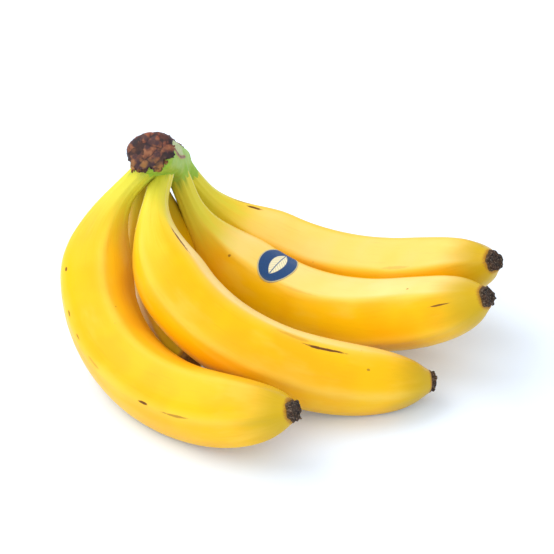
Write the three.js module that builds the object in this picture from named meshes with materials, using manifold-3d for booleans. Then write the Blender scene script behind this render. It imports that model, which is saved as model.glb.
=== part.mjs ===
// A cut bunch of five dessert bananas, lying on a flat surface: four side by side in a front row,
// and one from the row behind, which lies under them and shows only in the gaps.
// Each finger is one grown solid: a straight lathed fruit with five soft ridges, bent along its own
// centre line. All the necks run into one woody crown. A dried flower remnant sits on each free end,
// and a small oval label sits on the third finger.
// Millimetres and degrees. X runs from the crown to the free ends, Y to the back, Z up.

import * as THREE from "three";
import { mergeVertices } from "three/addons/utils/BufferGeometryUtils.js";
import Module from "manifold-3d";

const wasm = await Module();
wasm.setup();

// ---- Driving dimensions -------------------------------------------------------------------------

const CLEARANCE = 0.35; // gap left between neighbouring pieces

const FINGER_LENGTH = 200; // centre line of a finger, from its root in the crown to its free end
const BODY_RADIUS = 17.6; // at the fattest part
const NECK_RADIUS = 5.6; // round stalk between crown and fruit
const TIP_RADIUS = 5.4; // flat free end that carries the flower remnant
const NECK_LENGTH = 20; // straight stretch of the stalk
const SHOULDER_LENGTH = 52; // over which the stalk widens into the body
const TAPER_LENGTH = 60; // over which the body narrows to the tip
const TAPER_POWER = 2.6; // keeps the body full until close to the tip
const RIDGE_HEIGHT = 1.1; // ridge crest above the middle of a facet
const RIDGES = 5;
const BEND_POWER = 1.65; // over 1 bends a finger more near its neck than near its tip

const ROOT_PITCH = 15; // distance between neighbouring roots in the crown's front row
const FRONT_ROW = 4; // fingers whose roots make that row
const ROOT_ROW_CENTRE = new THREE.Vector3(-32, 102, 83);
const ROOT_ROW = { azimuth: 82, elevation: -36 }; // direction in which the roots follow each other

const CROWN_LEFT = 10; // stalk tissue past the necks, on the side the first finger bends to
const CROWN_RIGHT = 1.5;
const CROWN_TOP = 2;
const CROWN_BOTTOM = 3;
const CROWN_END = 3.5; // past the first and the last neck
const CROWN_EDGE = 3; // rounding of the two ends
const CROWN_NARROWING = 0.65; // share of the half width left at the top and at the bottom

const BLOSSOM_RADIUS = 5;
const BLOSSOM_LENGTH = 4.4;

const STICKER_LENGTH = 23; // along the finger
const STICKER_WIDTH = 24; // around the finger
const STICKER_THICKNESS = 0.3;
const STICKER_DISTANCE = 83; // centre of the label, measured from the root
const STICKER_ANGLE = 10; // centre of the label, measured from the inside of the bend

// root: place along the front row, counted in pitches from its first finger, and for a finger of the
// row behind also millimetres across and up from the row.
// Headings: azimuth from +X towards +Y, elevation up from the horizontal.
// roll turns the five ridges about the centre line.
const FINGERS = [
  {
    name: "banana_1",
    root: { row: 0, across: 0, up: 0 },
    longer: 16,
    neck: { azimuth: -168, elevation: -44.5 },
    tip: { azimuth: -23.5, elevation: 19.5 },
    roll: 7,
  },
  {
    name: "banana_2",
    root: { row: 1, across: 0, up: 0 },
    longer: 6,
    neck: { azimuth: -102.5, elevation: -27 },
    tip: { azimuth: 10.5, elevation: -7 },
    roll: 34,
  },
  {
    name: "banana_3",
    root: { row: 2, across: 0, up: 0 },
    longer: 3,
    neck: { azimuth: -35.5, elevation: -64.5 },
    tip: { azimuth: -24.5, elevation: 32 },
    roll: 4,
  },
  {
    name: "banana_4",
    root: { row: 3, across: 0, up: 0 },
    longer: 0,
    neck: { azimuth: 11.5, elevation: -56 },
    tip: { azimuth: -40, elevation: 33.5 },
    roll: 0,
  },
  {
    name: "banana_5",
    root: { row: 0.2, across: -9.5, up: 2 },
    longer: -59,
    neck: { azimuth: 88, elevation: -64 },
    tip: { azimuth: -79, elevation: 8 },
    roll: 18,
  },
];
const STICKER_FINGER = 2;

// Fineness of the meshes
const SIDES = 20; // facets around a finger, a multiple of the number of ridges
const RING_STEP = 5; // between rings of a finger
const LINE_STEP = 1; // between stations of a centre line
const CROWN_SIDES = 18;
const STICKER_SIDES = 28;
const STICKER_RINGS = 4;

// ---- Materials ----------------------------------------------------------------------------------

const peel = new THREE.MeshStandardMaterial({ color: 0xf7c413, roughness: 0.45, metalness: 0 });
const crownBark = new THREE.MeshStandardMaterial({ color: 0x4a2a1c, roughness: 0.85, metalness: 0 });
const blossomHusk = new THREE.MeshStandardMaterial({ color: 0x2e2018, roughness: 0.9, metalness: 0 });
const stickerFilm = new THREE.MeshStandardMaterial({ color: 0x1c4a8c, roughness: 0.35, metalness: 0 });

// ---- Centre lines -------------------------------------------------------------------------------

function heading({ azimuth, elevation }) {
  const flat = Math.cos(THREE.MathUtils.degToRad(elevation));
  return new THREE.Vector3(
    flat * Math.cos(THREE.MathUtils.degToRad(azimuth)),
    flat * Math.sin(THREE.MathUtils.degToRad(azimuth)),
    Math.sin(THREE.MathUtils.degToRad(elevation)),
  );
}

// The crown's own directions: along the row of roots, up from it, and across it towards +X.
const rowHeading = heading(ROOT_ROW);
const rowUp = new THREE.Vector3().crossVectors(new THREE.Vector3(1, 0, 0), rowHeading).normalize();
const rowAcross = new THREE.Vector3().crossVectors(rowHeading, rowUp);

function rootOf(index) {
  const { row, across, up } = FINGERS[index].root;
  const fromMiddle = (row - (FRONT_ROW - 1) / 2) * ROOT_PITCH;
  return ROOT_ROW_CENTRE.clone()
    .addScaledVector(rowHeading, fromMiddle)
    .addScaledVector(rowAcross, across)
    .addScaledVector(rowUp, up);
}

// A finger's centre line lies in the plane of its two headings and turns from one to the other.
// inner points to the inside of the bend, and side is square to the plane.
class FingerLine {
  constructor(index) {
    const finger = FINGERS[index];
    this.length = FINGER_LENGTH + finger.longer;
    this.start = heading(finger.neck);
    const end = heading(finger.tip);
    this.bend = this.start.angleTo(end);
    this.side = new THREE.Vector3().crossVectors(this.start, end).normalize();
    this.roll = THREE.MathUtils.degToRad(finger.roll);

    this.stations = [rootOf(index)];
    for (let distance = 0; distance < this.length; distance += LINE_STEP) {
      const last = this.stations.at(-1);
      const along = this.headingAt(distance + LINE_STEP / 2);
      this.stations.push(last.clone().addScaledVector(along, LINE_STEP));
    }
  }

  headingAt(distance) {
    const bent = (distance - NECK_LENGTH) / (this.length - NECK_LENGTH);
    const left = 1 - THREE.MathUtils.clamp(bent, 0, 1);
    const turned = this.bend * (1 - left ** BEND_POWER);
    return this.start.clone().applyAxisAngle(this.side, turned);
  }

  // Before the root and beyond the tip the line runs straight on.
  pointAt(distance) {
    const step = THREE.MathUtils.clamp(Math.floor(distance / LINE_STEP), 0, this.stations.length - 1);
    const beyond = distance - step * LINE_STEP;
    return this.stations[step].clone().addScaledVector(this.headingAt(distance), beyond);
  }

  // The point at a distance along the line, at an angle around it and at a radius from it.
  pointAround(distance, angle, radius) {
    const inner = new THREE.Vector3().crossVectors(this.side, this.headingAt(distance));
    return this.pointAt(distance)
      .addScaledVector(inner, radius * Math.cos(angle))
      .addScaledVector(this.side, radius * Math.sin(angle));
  }
}

// ---- The fruit's outside ------------------------------------------------------------------------

// Mean radius of a finger: stalk, shoulder, body, and a blunt taper to the flat tip.
function radiusAt(distance, length) {
  const widened = THREE.MathUtils.smoothstep(distance, NECK_LENGTH, NECK_LENGTH + SHOULDER_LENGTH);
  const full = NECK_RADIUS + (BODY_RADIUS - NECK_RADIUS) * widened;
  const tapered = THREE.MathUtils.clamp(1 - (length - distance) / TAPER_LENGTH, 0, 1);
  const lost = 1 - (TIP_RADIUS / BODY_RADIUS) ** 2;
  return full * Math.sqrt(1 - lost * tapered ** TAPER_POWER);
}

// Height of the ridged skin over the mean radius. The middle of a facet faces the inside of the bend.
function ridgeAt(radius, angle, roll) {
  const crest = -Math.cos(RIDGES * (angle - roll));
  return (RIDGE_HEIGHT / 2) * (radius / BODY_RADIUS) * crest;
}

function skinPoint(line, distance, angle, outward) {
  const radius = radiusAt(THREE.MathUtils.clamp(distance, 0, line.length), line.length);
  return line.pointAround(distance, angle, radius + ridgeAt(radius, angle, line.roll) + outward);
}

// ---- Solids -------------------------------------------------------------------------------------

// A lathed or extruded geometry as a closed solid, without the slivers that meet at a pole.
function solidOf(geometry) {
  const bare = geometry.clone();
  bare.deleteAttribute("normal");
  bare.deleteAttribute("uv");
  const merged = mergeVertices(bare, 1e-4);
  const corners = merged.index.array;
  const triangles = [];
  for (let i = 0; i < corners.length; i += 3) {
    const triangle = [corners[i], corners[i + 1], corners[i + 2]];
    if (new Set(triangle).size === 3) triangles.push(...triangle);
  }
  const vertProperties = new Float32Array(merged.attributes.position.array);
  const triVerts = new Uint32Array(triangles);
  return new wasm.Manifold(new wasm.Mesh({ numProp: 3, vertProperties, triVerts }));
}

function meshOf(name, solid, material) {
  const { vertProperties, triVerts } = solid.getMesh();
  const geometry = new THREE.BufferGeometry();
  geometry.setAttribute("position", new THREE.BufferAttribute(vertProperties, 3));
  geometry.setIndex(new THREE.BufferAttribute(triVerts, 1));
  geometry.computeVertexNormals();
  const mesh = new THREE.Mesh(geometry, material);
  mesh.name = name;
  return mesh;
}

// Moves every vertex of a geometry that was made in its own straight space.
function warp(geometry, placed) {
  const position = geometry.attributes.position;
  const vertex = new THREE.Vector3();
  for (let i = 0; i < position.count; i += 1) {
    vertex.fromBufferAttribute(position, i);
    const moved = placed(vertex);
    position.setXYZ(i, moved.x, moved.y, moved.z);
  }
  return geometry;
}

// A finger as a straight lathed spindle along Y, ridged and bent onto its centre line.
// outward grows it on all sides, for the tool that clears its neighbours.
function fingerSolid(line, outward) {
  const rings = Math.round(line.length / RING_STEP);
  const profile = [new THREE.Vector2(0, -outward)];
  for (let ring = 0; ring <= rings; ring += 1) {
    const distance = (line.length * ring) / rings;
    const beyond = ring === 0 ? -outward : ring === rings ? outward : 0;
    profile.push(new THREE.Vector2(radiusAt(distance, line.length), distance + beyond));
  }
  profile.push(new THREE.Vector2(0, line.length + outward));
  const spindle = new THREE.LatheGeometry(profile, SIDES);
  spindle.rotateY(line.roll);
  return solidOf(
    warp(spindle, ({ x, y, z }) => {
      const mean = Math.hypot(x, z);
      if (mean === 0) return line.pointAt(y);
      const angle = Math.atan2(-z, x);
      return line.pointAround(y, angle, mean + ridgeAt(mean, angle, line.roll) + outward);
    }),
  );
}

// The crown is a blunt lump along the row of roots. Its outline is square to the row.
function crownSolid() {
  const left = -(NECK_RADIUS + CROWN_LEFT);
  const right = NECK_RADIUS + CROWN_RIGHT;
  const top = NECK_RADIUS + CROWN_TOP;
  const bottom = -(NECK_RADIUS + CROWN_BOTTOM);
  const outline = new THREE.CatmullRomCurve3(
    [
      new THREE.Vector3(left, 0, 0),
      new THREE.Vector3(CROWN_NARROWING * left, top, 0),
      new THREE.Vector3(CROWN_NARROWING * right, top, 0),
      new THREE.Vector3(right, 0, 0),
      new THREE.Vector3(CROWN_NARROWING * right, bottom, 0),
      new THREE.Vector3(CROWN_NARROWING * left, bottom, 0),
    ],
    true,
  );
  const section = new THREE.Shape(outline.getPoints(CROWN_SIDES).slice(0, -1));
  const rowLength = (FRONT_ROW - 1) * ROOT_PITCH + 2 * (NECK_RADIUS + CROWN_END);
  const lump = new THREE.ExtrudeGeometry(section, {
    depth: rowLength - 2 * CROWN_EDGE,
    bevelThickness: CROWN_EDGE,
    bevelSize: CROWN_EDGE,
    bevelOffset: -CROWN_EDGE,
    bevelSegments: 2,
  });
  const towardsFirst = rowHeading.clone().negate();
  lump.translate(0, 0, CROWN_EDGE - rowLength / 2);
  const place = new THREE.Matrix4().makeBasis(rowAcross, rowUp, towardsFirst);
  lump.applyMatrix4(place.setPosition(ROOT_ROW_CENTRE));
  return solidOf(lump);
}

// What dried of the flower: a knobbly cap on the flat tip, with a waist and a ragged mouth.
function blossomSolid(line) {
  const profile = [
    new THREE.Vector2(0, 0),
    new THREE.Vector2(0.94 * BLOSSOM_RADIUS, 0),
    new THREE.Vector2(BLOSSOM_RADIUS, 0.2 * BLOSSOM_LENGTH),
    new THREE.Vector2(0.8 * BLOSSOM_RADIUS, 0.55 * BLOSSOM_LENGTH),
    new THREE.Vector2(0.88 * BLOSSOM_RADIUS, 0.85 * BLOSSOM_LENGTH),
    new THREE.Vector2(0.55 * BLOSSOM_RADIUS, BLOSSOM_LENGTH),
    new THREE.Vector2(0, 0.9 * BLOSSOM_LENGTH),
  ];
  const cap = new THREE.LatheGeometry(profile, 2 * RIDGES);
  const seat = line.length + CLEARANCE;
  return solidOf(
    warp(cap, ({ x, y, z }) => line.pointAround(seat + y, Math.atan2(-z, x), Math.hypot(x, z))),
  );
}

// The label is a thin oval disc laid over the ridged skin, one clearance above it.
function stickerSolid(line) {
  const face = Array.from({ length: STICKER_RINGS + 1 }, (_, ring) => ring / STICKER_RINGS);
  const profile = [
    ...face.map((share) => new THREE.Vector2(share, CLEARANCE)),
    ...face.reverse().map((share) => new THREE.Vector2(share, CLEARANCE + STICKER_THICKNESS)),
  ];
  const disc = new THREE.LatheGeometry(profile, STICKER_SIDES);
  const middle = THREE.MathUtils.degToRad(STICKER_ANGLE);
  return solidOf(
    warp(disc, ({ x, y, z }) => {
      const distance = STICKER_DISTANCE + (x * STICKER_LENGTH) / 2;
      const angle = middle + (z * STICKER_WIDTH) / 2 / radiusAt(distance, line.length);
      return skinPoint(line, distance, angle, y);
    }),
  );
}

// ---- Assembly -----------------------------------------------------------------------------------

const lines = FINGERS.map((finger, index) => new FingerLine(index));
const room = lines.map((line) => fingerSolid(line, CLEARANCE));

// Fingers that press on each other have flats: each gives way to those before it.
const bunch = new THREE.Group();
FINGERS.forEach((finger, index) => {
  let solid = fingerSolid(lines[index], 0);
  for (const before of room.slice(0, index)) solid = solid.subtract(before);
  bunch.add(meshOf(finger.name, solid, peel.clone()));
});

let crown = crownSolid();
for (const neck of room) crown = crown.subtract(neck);
bunch.add(meshOf("crown", crown, crownBark));

lines.forEach((line, index) => {
  bunch.add(meshOf(`blossom_end_${index + 1}`, blossomSolid(line), blossomHusk.clone()));
});

let sticker = stickerSolid(lines[STICKER_FINGER]);
room.forEach((other, index) => {
  if (index !== STICKER_FINGER) sticker = sticker.subtract(other);
});
bunch.add(meshOf("sticker", sticker, stickerFilm));

// The origin is the middle of the bunch's box, on the surface that it lies on.
const box = new THREE.Box3().setFromObject(bunch);
const middle = box.getCenter(new THREE.Vector3());
bunch.position.set(-middle.x, -middle.y, -box.min.z);

export default bunch;
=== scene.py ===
# %% [markdown]
# # A bunch of bananas
# Five ripe fingers lie on their side, joined by green necks at one cut stalk. The solids that were
# packed give every place and size. This lesson lays living skin over them: a peel with ridges and
# rubs, a fresh green crown under a dry brown cork, withered flower ends and a small oval label.
# The frame is loaded first and its box is kept, and the camera is aimed at its middle.

# %% Load the frame
import math

import bmesh
import bpy
import numpy as np
from mathutils import Matrix, Vector, noise
from mathutils.bvhtree import BVHTree


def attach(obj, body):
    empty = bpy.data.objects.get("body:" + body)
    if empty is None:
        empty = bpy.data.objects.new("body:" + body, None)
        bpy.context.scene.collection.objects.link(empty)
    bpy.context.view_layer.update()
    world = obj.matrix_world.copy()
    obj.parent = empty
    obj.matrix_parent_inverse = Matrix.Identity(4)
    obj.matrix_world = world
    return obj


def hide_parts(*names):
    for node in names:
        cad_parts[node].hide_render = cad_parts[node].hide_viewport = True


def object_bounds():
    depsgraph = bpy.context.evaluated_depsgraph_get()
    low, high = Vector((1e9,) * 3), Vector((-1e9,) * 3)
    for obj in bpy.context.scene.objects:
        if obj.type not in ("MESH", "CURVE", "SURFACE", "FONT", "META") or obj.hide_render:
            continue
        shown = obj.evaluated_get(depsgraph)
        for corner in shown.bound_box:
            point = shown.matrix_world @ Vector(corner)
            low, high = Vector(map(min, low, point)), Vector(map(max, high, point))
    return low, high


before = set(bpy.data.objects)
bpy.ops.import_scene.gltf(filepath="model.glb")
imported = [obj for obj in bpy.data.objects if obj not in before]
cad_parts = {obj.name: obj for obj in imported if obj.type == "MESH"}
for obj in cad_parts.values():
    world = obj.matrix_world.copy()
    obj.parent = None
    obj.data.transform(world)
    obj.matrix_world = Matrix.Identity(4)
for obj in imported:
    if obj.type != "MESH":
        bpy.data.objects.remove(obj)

cad_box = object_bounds()
box_low = np.array(cad_box[0])
box_high = np.array(cad_box[1])
print("box of the solids in mm:", (1000 * (box_high - box_low)).round(1))

MM = 0.001
FINGERS = (1, 2, 3, 4, 5)


def solid_arrays(node_name):
    """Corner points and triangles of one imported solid."""
    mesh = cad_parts[node_name].data
    mesh.calc_loop_triangles()
    points = np.array([vertex.co for vertex in mesh.vertices])
    triangles = np.array([triangle.vertices for triangle in mesh.loop_triangles])
    return points, triangles


def solid_tree(node_name):
    """The same solid, ready for rays to be cast at it."""
    points, triangles = solid_arrays(node_name)
    return BVHTree.FromPolygons([Vector(p) for p in points], triangles.tolist())


# %% [markdown]
# ## Shader maths as plain expressions
# A finish is a graph of nodes, and most of those nodes are sums and products. A small class wraps
# a socket and overloads the operators, so that a mask reads as `1 - mask * 0.5` and adds its own
# Math nodes. Every other node comes from one method, which takes the node's type, its settings and
# the values of its sockets. Written this way a finish stays short enough to read in one go.

# %% A socket that can be added and multiplied
class Value:
    """One output of a node. Sums and products of values add Math nodes."""

    def __init__(self, finish, socket):
        self.finish = finish
        self.socket = socket

    def maths(self, operation, first, second):
        return self.finish.node("ShaderNodeMath", {"operation": operation}, {0: first, 1: second})

    def __add__(self, other):
        return self.maths("ADD", self, other)

    def __radd__(self, other):
        return self.maths("ADD", other, self)

    def __sub__(self, other):
        return self.maths("SUBTRACT", self, other)

    def __rsub__(self, other):
        return self.maths("SUBTRACT", other, self)

    def __mul__(self, other):
        return self.maths("MULTIPLY", self, other)

    def __rmul__(self, other):
        return self.maths("MULTIPLY", other, self)

    def max(self, other):
        return self.maths("MAXIMUM", self, other)

    def changed(self, operation):
        """The value after an operation that takes nothing else, such as SINE."""
        return self.finish.node("ShaderNodeMath", {"operation": operation}, {0: self})


# %% A finish, which makes its own nodes
class Finish:
    """A material with one Principled shader, and the few kinds of node that this object needs."""

    def __init__(self, name, constants):
        self.material = bpy.data.materials.new(name)
        self.material.use_nodes = True
        self.tree = self.material.node_tree
        self.shader = self.tree.nodes["Principled BSDF"]
        for socket_name, value in constants.items():
            self.shader.inputs[socket_name].default_value = value

    def node(self, kind, settings=None, sockets=None, output=0):
        """Adds a node: its settings first, then the values or links of its sockets."""
        made = self.tree.nodes.new(kind)
        for name, value in (settings or {}).items():
            if name == "stops":
                self.set_stops(made.color_ramp, value)
            else:
                setattr(made, name, value)
        for name, value in (sockets or {}).items():
            if isinstance(value, Value):
                self.tree.links.new(value.socket, made.inputs[name])
            else:
                made.inputs[name].default_value = value
        return Value(self, made.outputs[output])

    def set_stops(self, ramp, stops):
        """A ramp's stops are pairs of a place and a colour."""
        while len(ramp.elements) < len(stops):
            ramp.elements.new(1.0)
        for element, (place, colour) in zip(ramp.elements, stops):
            element.position = place
            element.color = (*colour, 1.0)

    def carried(self, name, output="Fac"):
        """A number (Fac) or a vector (Vector) that the mesh carries at each point."""
        return self.node("ShaderNodeAttribute", {"attribute_name": name}, output=output)

    def step(self, value, low, high):
        """0 below low, 1 above high, and a soft rise between them."""
        return self.node(
            "ShaderNodeMapRange",
            {"interpolation_type": "SMOOTHSTEP"},
            {"Value": value, "From Min": low, "From Max": high},
        )

    def part(self, vector, axis):
        """One of the three parts of a vector."""
        return self.node("ShaderNodeSeparateXYZ", None, {0: vector}, axis)

    def scaled(self, vector, factors):
        """A vector with each of its parts multiplied."""
        return self.node("ShaderNodeVectorMath", {"operation": "MULTIPLY"}, {0: vector, 1: factors})

    def noise(self, vector, scale, detail=2.0, roughness=0.5, shift=(0.0, 0.0, 0.0)):
        """Soft cloudy noise, about 0.5 on average."""
        moved = self.node("ShaderNodeVectorMath", {"operation": "ADD"}, {0: vector, 1: shift})
        sockets = {"Vector": moved, "Scale": scale, "Detail": detail, "Roughness": roughness}
        return self.node("ShaderNodeTexNoise", None, sockets)

    def mix(self, factor, first, second):
        """The first colour where factor is 0 and the second where it is 1."""
        settings = {"data_type": "RGBA"}
        first = first if isinstance(first, Value) else (*first, 1.0)
        second = second if isinstance(second, Value) else (*second, 1.0)
        return self.node("ShaderNodeMix", settings, {0: factor, 6: first, 7: second}, output=2)

    def multiply(self, factor, first, second):
        """The first colour, darkened by the second as far as factor says."""
        settings = {"data_type": "RGBA", "blend_type": "MULTIPLY"}
        second = second if isinstance(second, Value) else (*second, 1.0)
        return self.node("ShaderNodeMix", settings, {0: factor, 6: first, 7: second}, output=2)

    def bump(self, height, distance, under=None):
        """A surface roughened by height, on top of another bump if there is one."""
        sockets = {"Height": height, "Distance": distance, "Strength": 1.0}
        if under is not None:
            sockets["Normal"] = under
        return self.node("ShaderNodeBump", None, sockets)

    def feed(self, socket_name, value):
        """Links a value to the shader."""
        self.tree.links.new(value.socket, self.shader.inputs[socket_name])


# %% [markdown]
# ## Making a piece from points
# Every piece below ends as a list of points and faces. One helper turns them into an object that
# rides on the only body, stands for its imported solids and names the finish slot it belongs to.

# %% From points to a piece
def make_piece(name, points, faces, finish, stands_for, smooth=True):
    """A new object in the frame, with its finish and its place in the part."""
    mesh = bpy.data.meshes.new(name)
    mesh.from_pydata([tuple(p) for p in points], [], [tuple(int(i) for i in f) for f in faces])
    mesh.validate()
    mesh.polygons.foreach_set("use_smooth", [smooth] * len(mesh.polygons))
    mesh.update()
    piece = bpy.data.objects.new(name, mesh)
    bpy.context.scene.collection.objects.link(piece)
    mesh.materials.append(finish.material)
    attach(piece, "root")
    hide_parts(*stands_for)
    print(name, "has", len(mesh.vertices), "points")
    return piece


def carry(piece, name, kind, values):
    """Stores one value or vector at each point of a piece, for its finish to read."""
    attribute = piece.data.attributes.new(name, kind, "POINT")
    key = "vector" if kind == "FLOAT_VECTOR" else "value"
    attribute.data.foreach_set(key, np.asarray(values, np.float32).ravel())


def unit(vector):
    return vector / np.linalg.norm(vector)


def ring_ways(first, second, turns):
    """Directions all round, turning from the first way to the second."""
    return np.cos(turns)[:, None] * first + np.sin(turns)[:, None] * second


def soft_step(values, low, high):
    """Like a finish's step, for numbers."""
    share = np.clip((np.asarray(values, float) - low) / (high - low), 0, 1)
    return share * share * (3 - 2 * share)


# %% [markdown]
# ## The line down the middle of a finger
# A banana is a bent spindle, and everything on it runs along that bend: its five ridges, its
# fibres and the scuffs on it. So the first thing to know is the line down its middle. It is found
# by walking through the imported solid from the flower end, casting rays sideways at each step and
# moving to the middle of what they hit. The walk ends where the neck's cut face is just ahead.

# %% Walk down the middle of a finger
WALK_STEP = 2 * MM
WALK_RAYS = 24
TURNS = np.linspace(0, 2 * np.pi, WALK_RAYS, endpoint=False)


def middle_of_section(tree, position, heading):
    """The middle of the section square to heading, or None outside the solid."""
    across = unit(np.cross(heading, (0.31, 0.17, 0.93)))
    upward = np.cross(heading, across)
    for _ in range(2):
        hits = []
        for turn in TURNS:
            way = across * math.cos(turn) + upward * math.sin(turn)
            place = tree.ray_cast(Vector(position), Vector(way))[0]
            if place is not None:
                hits.append(np.array(place))
        if len(hits) < WALK_RAYS:
            return None
        position = np.mean(hits, axis=0)
    return position


def walk_finger(number):
    """Points down the middle of a finger, from the root to the flower end."""
    points, _ = solid_arrays(f"banana_{number}")
    tree = solid_tree(f"banana_{number}")
    husk, _ = solid_arrays(f"blossom_end_{number}")
    end = husk.mean(0)
    near = points[np.linalg.norm(points - end, axis=1) < 22 * MM]
    heading = unit(near.mean(0) - end)
    position = end + heading * 5 * MM
    line = []
    while len(line) < 150:
        position = middle_of_section(tree, position, heading)
        if position is None:
            break
        if line:
            heading = unit(0.6 * heading + 0.4 * unit(position - line[-1]))
        line.append(position)
        ahead = tree.ray_cast(Vector(position), Vector(heading))[3]
        if ahead is None or ahead < 1.5 * WALK_STEP:
            line.append(position + heading * (ahead or 0))
            break
        position = position + heading * WALK_STEP
    behind = tree.ray_cast(Vector(line[0]), Vector(unit(line[0] - line[1])))[3]
    line.insert(0, line[0] + unit(line[0] - line[1]) * behind)
    return np.array(line[::-1])


# %% Smooth the line and set a frame of directions on it
RING_GAP = 1 * MM


class Line:
    """The middle of a finger, with its bend: inner is the way to the inside of the bend."""

    def __init__(self, number):
        points = walk_finger(number)
        for _ in range(12):
            points[1:-1] = 0.5 * points[1:-1] + 0.25 * (points[:-2] + points[2:])
        lengths = np.linalg.norm(np.diff(points, axis=0), axis=1)
        reached = np.concatenate([[0], np.cumsum(lengths)])
        self.length = reached[-1]
        self.rings = int(round(self.length / RING_GAP)) + 1
        self.along = np.linspace(0, self.length, self.rings)
        columns = [np.interp(self.along, reached, points[:, k]) for k in range(3)]
        self.points = np.array(columns).T
        ways = np.gradient(self.points, axis=0)
        self.ways = ways / np.linalg.norm(ways, axis=1)[:, None]
        self.side = unit(np.cross(self.ways[8], self.ways[-8]))
        inner = np.cross(self.side, self.ways)
        self.inner = inner / np.linalg.norm(inner, axis=1)[:, None]


lines = {number: Line(number) for number in FINGERS}
for number, line in lines.items():
    print("finger", number, "is", round(line.length / MM, 1), "mm along its middle")

# %% [markdown]
# ## The peel's shape
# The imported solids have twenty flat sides. A real peel is one smooth skin with five soft ridges,
# which are crisper than a cosine and wander a little. Subdividing the solids would keep their
# flats, so a fresh skin is laid instead: rays from the middle line measure the solid all round,
# the measurements are smoothed around and along, and the ridges, a slight unevenness and the
# fibres of the neck are added. Where two fingers press together the flat between them is kept.

# %% Measure a finger all round
ROUND = 96
ANGLES = np.linspace(0, 2 * np.pi, ROUND, endpoint=False)
KEPT_WAVES = 9


def measured_radii(number):
    """Distance from the middle line to the solid, for each ring and angle."""
    line = lines[number]
    tree = solid_tree(f"banana_{number}")
    radii = np.zeros((line.rings, ROUND))
    inset = np.clip(line.along, 0.4 * MM, line.length - 0.4 * MM)
    for ring in range(line.rings):
        start = line.points[ring] + line.ways[ring] * (inset[ring] - line.along[ring])
        for k, angle in enumerate(ANGLES):
            way = line.inner[ring] * math.cos(angle) + line.side * math.sin(angle)
            reach = tree.ray_cast(Vector(start), Vector(way), 0.04)[3]
            radii[ring, k] = reach if reach is not None else radii[ring, k - 1]
    return radii


def smooth_around(radii, waves):
    """Keeps only the slow waves round each ring."""
    parts = np.fft.rfft(radii, axis=1)
    fade = np.clip(1 - (np.arange(parts.shape[1]) - waves) / 3, 0, 1)
    return np.fft.irfft(parts * fade, ROUND, axis=1)


def smooth_along(radii, passes):
    for _ in range(passes):
        radii[1:-1] = 0.5 * radii[1:-1] + 0.25 * (radii[:-2] + radii[2:])
    return radii


# %% Ridges, unevenness and fibres
CREST_EXTRA = 0.85 * MM  # how far a ridge stands out more than in the solid
UNEVEN = 0.22 * MM
FIBRE = 0.16 * MM
RIDGES = 5
FULLER = {5: 1.9 * MM}  # the hidden finger's neck fills the hollow beside it, past its solid


def crest_shape(number, radii):
    """1 on a ridge and 0 between ridges, and a mask that is 1 on the facet that lies uppermost, where a
    highlight is painted.
    """
    line = lines[number]
    body = slice(int(0.35 * line.rings), int(0.8 * line.rings))
    fifth = np.fft.rfft(radii[body], axis=1)[:, RIDGES].mean()
    wander = [0.10 * noise.noise(Vector((z / (45 * MM), number * 3.7, 0))) for z in line.along]
    phase = RIDGES * (ANGLES[None, :] + np.array(wander)[:, None]) + np.angle(fifth)
    middle = line.rings // 2
    upward = math.atan2(line.side[2], line.inner[middle][2])
    facet = (phase + RIDGES * (upward - ANGLES[None, :]))[middle, 0] // (2 * np.pi)
    into = (phase / (2 * np.pi) - facet) % RIDGES
    bloom = soft_step(into, 0.0, 0.14) * (1 - soft_step(into, 0.88, 1.02))
    return np.exp(4.5 * (np.cos(phase) - 1)), bloom


def skin_radii(number):
    """The finished radius at each ring and angle, the ridge mask and the mask of the painted highlight.
    """
    line = lines[number]
    raw = measured_radii(number)
    radii = smooth_along(smooth_around(raw, KEPT_WAVES), 4)
    pressed = smooth_around(raw, 24)
    crest, bloom = crest_shape(number, radii)
    fullness = soft_step(radii.mean(1), 7 * MM, 15 * MM)[:, None]
    radii = radii + CREST_EXTRA * fullness * (crest - crest.mean())
    for ring in range(line.rings):
        place = line.points[ring] / (24 * MM)
        for k, angle in enumerate(ANGLES):
            turn = Vector((math.cos(angle) * 0.8, math.sin(angle) * 0.8, number * 7.1))
            radii[ring, k] += UNEVEN * fullness[ring, 0] * noise.noise(Vector(place) + turn)
    neck = 1 - soft_step(line.along, 18 * MM, 52 * MM)[:, None]
    strands = np.cos(11 * ANGLES + number)[None, :] + 0.6 * np.cos(17 * ANGLES + 2 * number)[None, :]
    radii = radii + FIBRE * neck * strands * 0.5
    radii = np.minimum(radii, pressed + 0.45 * MM)
    if number in FULLER:
        swell = soft_step(line.along, 3 * MM, 16 * MM) - soft_step(line.along, 60 * MM, 85 * MM)
        radii = radii + FULLER[number] * swell[:, None]
    return smooth_along(radii, 1), crest * fullness, bloom * fullness


skins = {}
for number in FINGERS:
    skins[number] = skin_radii(number)
    widest = 2 * skins[number][0].mean(1).max() / MM
    print("finger", number, "is", round(widest, 1), "mm thick on average at its fattest")


# %% [markdown]
# The rings are joined into one closed skin. Both ends roll in to a point, so that the flower end
# sits in a small puckered cup and the root is closed inside the crown. Each point carries its
# place in the flow of the peel: two numbers for the way round and one for the distance from the
# root. A finish that reads them has streaks that follow the bend, and no seam.

# %% Join the rings into a skin
CUP = ((0.93, 0.25), (0.8, 0.35), (0.55, 0.15), (0.25, 0.0))  # shares of the end radius, mm outward
FLOW_RADIUS = 16 * MM


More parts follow.
